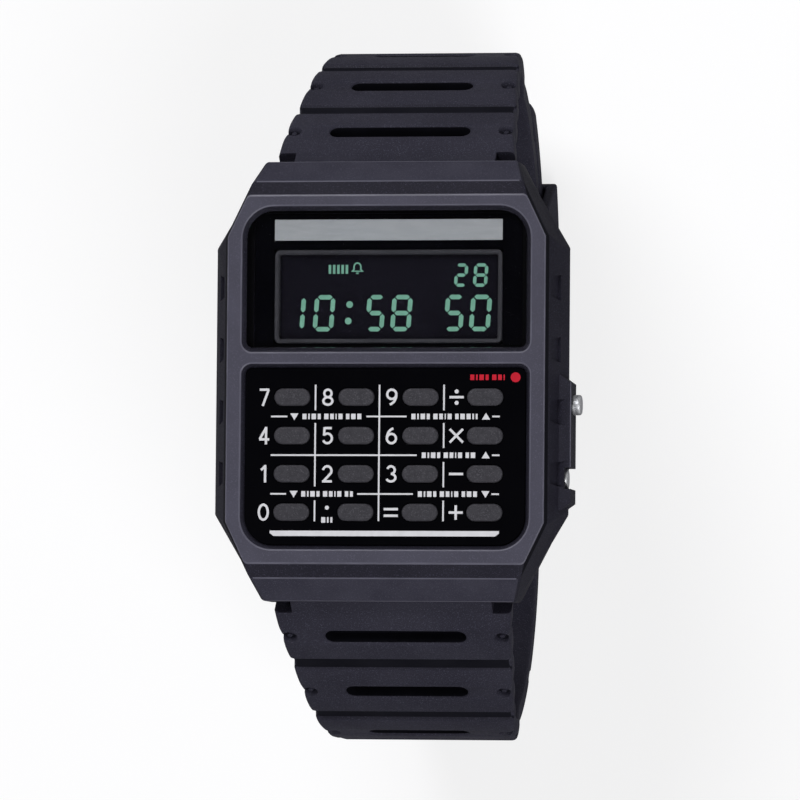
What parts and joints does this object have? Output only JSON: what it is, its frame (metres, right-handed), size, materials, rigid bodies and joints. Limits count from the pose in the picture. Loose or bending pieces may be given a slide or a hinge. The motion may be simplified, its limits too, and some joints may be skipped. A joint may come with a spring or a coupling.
{
  "type": "calculator watch",
  "caption": "Digital wristwatch with a calculator keypad under its display, two side pushers and a ribbed resin strap closed by a tang buckle.",
  "frame": {"origin": "centre of the case back's outer flat face", "axes": "+Z out of the display, +Y to twelve o'clock, +X to three o'clock where the pushers are"},
  "size_m": [0.0362, 0.0696, 0.0554],
  "materials": {
    "case_resin": "fine spark-eroded grain, satin",
    "crystal": "clear, flat, polished",
    "mask_black": "printed black",
    "silver": "bare satin silver",
    "frame_grey": "satin",
    "display_cell": "dark reversed liquid crystal with green-grey figures",
    "diffuser": "milky",
    "connector_rubber": "striped",
    "module_plastic": "moulded",
    "board": "solder mask",
    "chip_resin": "potting resin",
    "steel": "plain steel",
    "back_steel": "circular brushed stainless",
    "gold": "gold-plated spring bronze",
    "film": "amber film",
    "brass": "plain",
    "panel_black": "smooth black with white print",
    "membrane_rubber": "silicone rubber",
    "key_resin": "fine grain",
    "seal_rubber": "nitrile",
    "chrome": "polished",
    "strap_resin": "matte grained resin",
    "buckle_resin": "satin resin"
  },
  "bodies": {
    "case": {"case_body": "case_resin", "crystal": "crystal", "display_mask": "mask_black", "strip_plate": "silver", "display_frame": "frame_grey", "display_cell": "display_cell", "display_reflector": "diffuser", "contact_strips": "connector_rubber", "module_frame": "module_plastic", "circuit_board": "board", "processor": "chip_resin", "quartz_can": "steel", "coin_cell": "steel", "cell_clamp": "steel", "cell_contact": "gold", "insulator_sheet": "film", "buzzer_disc": "brass", "buzzer_spring": "steel", "keypad_panel": "panel_black", "keypad_membrane": "membrane_rubber", "case_back": "back_steel", "back_gasket": "seal_rubber", "case_back_screws": "steel", "mode_pusher_spring": "steel", "adjust_pusher_spring": "steel", "pusher_seals": "seal_rubber", "switch_contacts": "gold", "bar_tube_12": "steel", "bar_tube_6": "steel", "bar_springs": "steel"},
    "key_0": {"key_0": "key_resin"},
    "key_1": {"key_1": "key_resin"},
    "key_2": {"key_2": "key_resin"},
    "key_3": {"key_3": "key_resin"},
    "key_4": {"key_4": "key_resin"},
    "key_5": {"key_5": "key_resin"},
    "key_6": {"key_6": "key_resin"},
    "key_7": {"key_7": "key_resin"},
    "key_8": {"key_8": "key_resin"},
    "key_9": {"key_9": "key_resin"},
    "key_point": {"key_point": "key_resin"},
    "key_equals": {"key_equals": "key_resin"},
    "key_plus": {"key_plus": "key_resin"},
    "key_minus": {"key_minus": "key_resin"},
    "key_multiply": {"key_multiply": "key_resin"},
    "key_divide": {"key_divide": "key_resin"},
    "mode_pusher": {"mode_pusher": "chrome", "mode_pusher_clip": "steel"},
    "adjust_pusher": {"adjust_pusher": "chrome", "adjust_pusher_clip": "steel"},
    "bar_tip_12_left": {"bar_tip_12_left": "steel"},
    "bar_tip_12_right": {"bar_tip_12_right": "steel"},
    "bar_tip_6_left": {"bar_tip_6_left": "steel"},
    "bar_tip_6_right": {"bar_tip_6_right": "steel"},
    "strap_short": {"strap_short": "strap_resin"},
    "strap_long": {"strap_long": "strap_resin"},
    "buckle": {"buckle_frame": "buckle_resin", "buckle_bar": "steel"},
    "tongue": {"buckle_tongue": "steel"},
    "keeper": {"keeper": "strap_resin"}
  },
  "joints": [
    {"name": "key_0_press", "type": "slide", "parent": "case", "child": "key_0", "axis": [0, 0, -1], "range_m": [0, 0.0005], "stiffness_N_per_m": 300, "deforming": ["keypad_membrane"]},
    {"name": "key_1_press", "type": "slide", "parent": "case", "child": "key_1", "axis": [0, 0, -1], "range_m": [0, 0.0005], "stiffness_N_per_m": 300, "deforming": ["keypad_membrane"]},
    {"name": "key_2_press", "type": "slide", "parent": "case", "child": "key_2", "axis": [0, 0, -1], "range_m": [0, 0.0005], "stiffness_N_per_m": 300, "deforming": ["keypad_membrane"]},
    {"name": "key_3_press", "type": "slide", "parent": "case", "child": "key_3", "axis": [0, 0, -1], "range_m": [0, 0.0005], "stiffness_N_per_m": 300, "deforming": ["keypad_membrane"]},
    {"name": "key_4_press", "type": "slide", "parent": "case", "child": "key_4", "axis": [0, 0, -1], "range_m": [0, 0.0005], "stiffness_N_per_m": 300, "deforming": ["keypad_membrane"]},
    {"name": "key_5_press", "type": "slide", "parent": "case", "child": "key_5", "axis": [0, 0, -1], "range_m": [0, 0.0005], "stiffness_N_per_m": 300, "deforming": ["keypad_membrane"]},
    {"name": "key_6_press", "type": "slide", "parent": "case", "child": "key_6", "axis": [0, 0, -1], "range_m": [0, 0.0005], "stiffness_N_per_m": 300, "deforming": ["keypad_membrane"]},
    {"name": "key_7_press", "type": "slide", "parent": "case", "child": "key_7", "axis": [0, 0, -1], "range_m": [0, 0.0005], "stiffness_N_per_m": 300, "deforming": ["keypad_membrane"]},
    {"name": "key_8_press", "type": "slide", "parent": "case", "child": "key_8", "axis": [0, 0, -1], "range_m": [0, 0.0005], "stiffness_N_per_m": 300, "deforming": ["keypad_membrane"]},
    {"name": "key_9_press", "type": "slide", "parent": "case", "child": "key_9", "axis": [0, 0, -1], "range_m": [0, 0.0005], "stiffness_N_per_m": 300, "deforming": ["keypad_membrane"]},
    {"name": "key_point_press", "type": "slide", "parent": "case", "child": "key_point", "axis": [0, 0, -1], "range_m": [0, 0.0005], "stiffness_N_per_m": 300, "deforming": ["keypad_membrane"]},
    {"name": "key_equals_press", "type": "slide", "parent": "case", "child": "key_equals", "axis": [0, 0, -1], "range_m": [0, 0.0005], "stiffness_N_per_m": 300, "deforming": ["keypad_membrane"]},
    {"name": "key_plus_press", "type": "slide", "parent": "case", "child": "key_plus", "axis": [0, 0, -1], "range_m": [0, 0.0005], "stiffness_N_per_m": 300, "deforming": ["keypad_membrane"]},
    {"name": "key_minus_press", "type": "slide", "parent": "case", "child": "key_minus", "axis": [0, 0, -1], "range_m": [0, 0.0005], "stiffness_N_per_m": 300, "deforming": ["keypad_membrane"]},
    {"name": "key_multiply_press", "type": "slide", "parent": "case", "child": "key_multiply", "axis": [0, 0, -1], "range_m": [0, 0.0005], "stiffness_N_per_m": 300, "deforming": ["keypad_membrane"]},
    {"name": "key_divide_press", "type": "slide", "parent": "case", "child": "key_divide", "axis": [0, 0, -1], "range_m": [0, 0.0005], "stiffness_N_per_m": 300, "deforming": ["keypad_membrane"]},
    {"name": "mode_pusher_press", "type": "slide", "parent": "case", "child": "mode_pusher", "axis": [-1, 0, 0], "range_m": [0, 0.0007], "stiffness_N_per_m": 400, "deforming": ["mode_pusher_spring"]},
    {"name": "adjust_pusher_press", "type": "slide", "parent": "case", "child": "adjust_pusher", "axis": [-1, 0, 0], "range_m": [0, 0.0005], "stiffness_N_per_m": 400, "deforming": ["adjust_pusher_spring"]},
    {"name": "bar_tip_12_left_in", "type": "slide", "parent": "case", "child": "bar_tip_12_left", "axis": [1, 0, 0], "range_m": [0, 0.0012], "stiffness_N_per_m": 200, "deforming": ["bar_springs"]},
    {"name": "bar_tip_12_right_in", "type": "slide", "parent": "case", "child": "bar_tip_12_right", "axis": [-1, 0, 0], "range_m": [0, 0.0012], "stiffness_N_per_m": 200, "deforming": ["bar_springs"]},
    {"name": "bar_tip_6_left_in", "type": "slide", "parent": "case", "child": "bar_tip_6_left", "axis": [1, 0, 0], "range_m": [0, 0.0012], "stiffness_N_per_m": 200, "deforming": ["bar_springs"]},
    {"name": "bar_tip_6_right_in", "type": "slide", "parent": "case", "child": "bar_tip_6_right", "axis": [-1, 0, 0], "range_m": [0, 0.0012], "stiffness_N_per_m": 200, "deforming": ["bar_springs"]},
    {"name": "strap_short_swing", "type": "hinge", "parent": "case", "child": "strap_short", "pos_m": [0, 0.0194, 0.003], "axis": [1, 0, 0], "range_deg": [0, 25]},
    {"name": "strap_long_swing", "type": "hinge", "parent": "case", "child": "strap_long", "pos_m": [0, -0.0194, 0.003], "axis": [-1, 0, 0], "range_deg": [0, 25], "deforming": ["strap_long"]},
    {"name": "buckle_hinge", "type": "hinge", "parent": "strap_short", "child": "buckle", "pos_m": [0, 0.01, -0.04264], "axis": [1, 0, 0], "range_deg": [0, 60]},
    {"name": "tongue_hinge", "type": "hinge", "parent": "buckle", "child": "tongue", "pos_m": [0, 0.01, -0.04264], "axis": [1, 0, 0], "range_deg": [0, 75]},
    {"name": "keeper_slide", "type": "hinge", "parent": "strap_short", "child": "keeper", "pos_m": [0, 0.01214, -0.02108], "axis": [1, 0, 0], "range_deg": [-6, 14]}
  ]
}
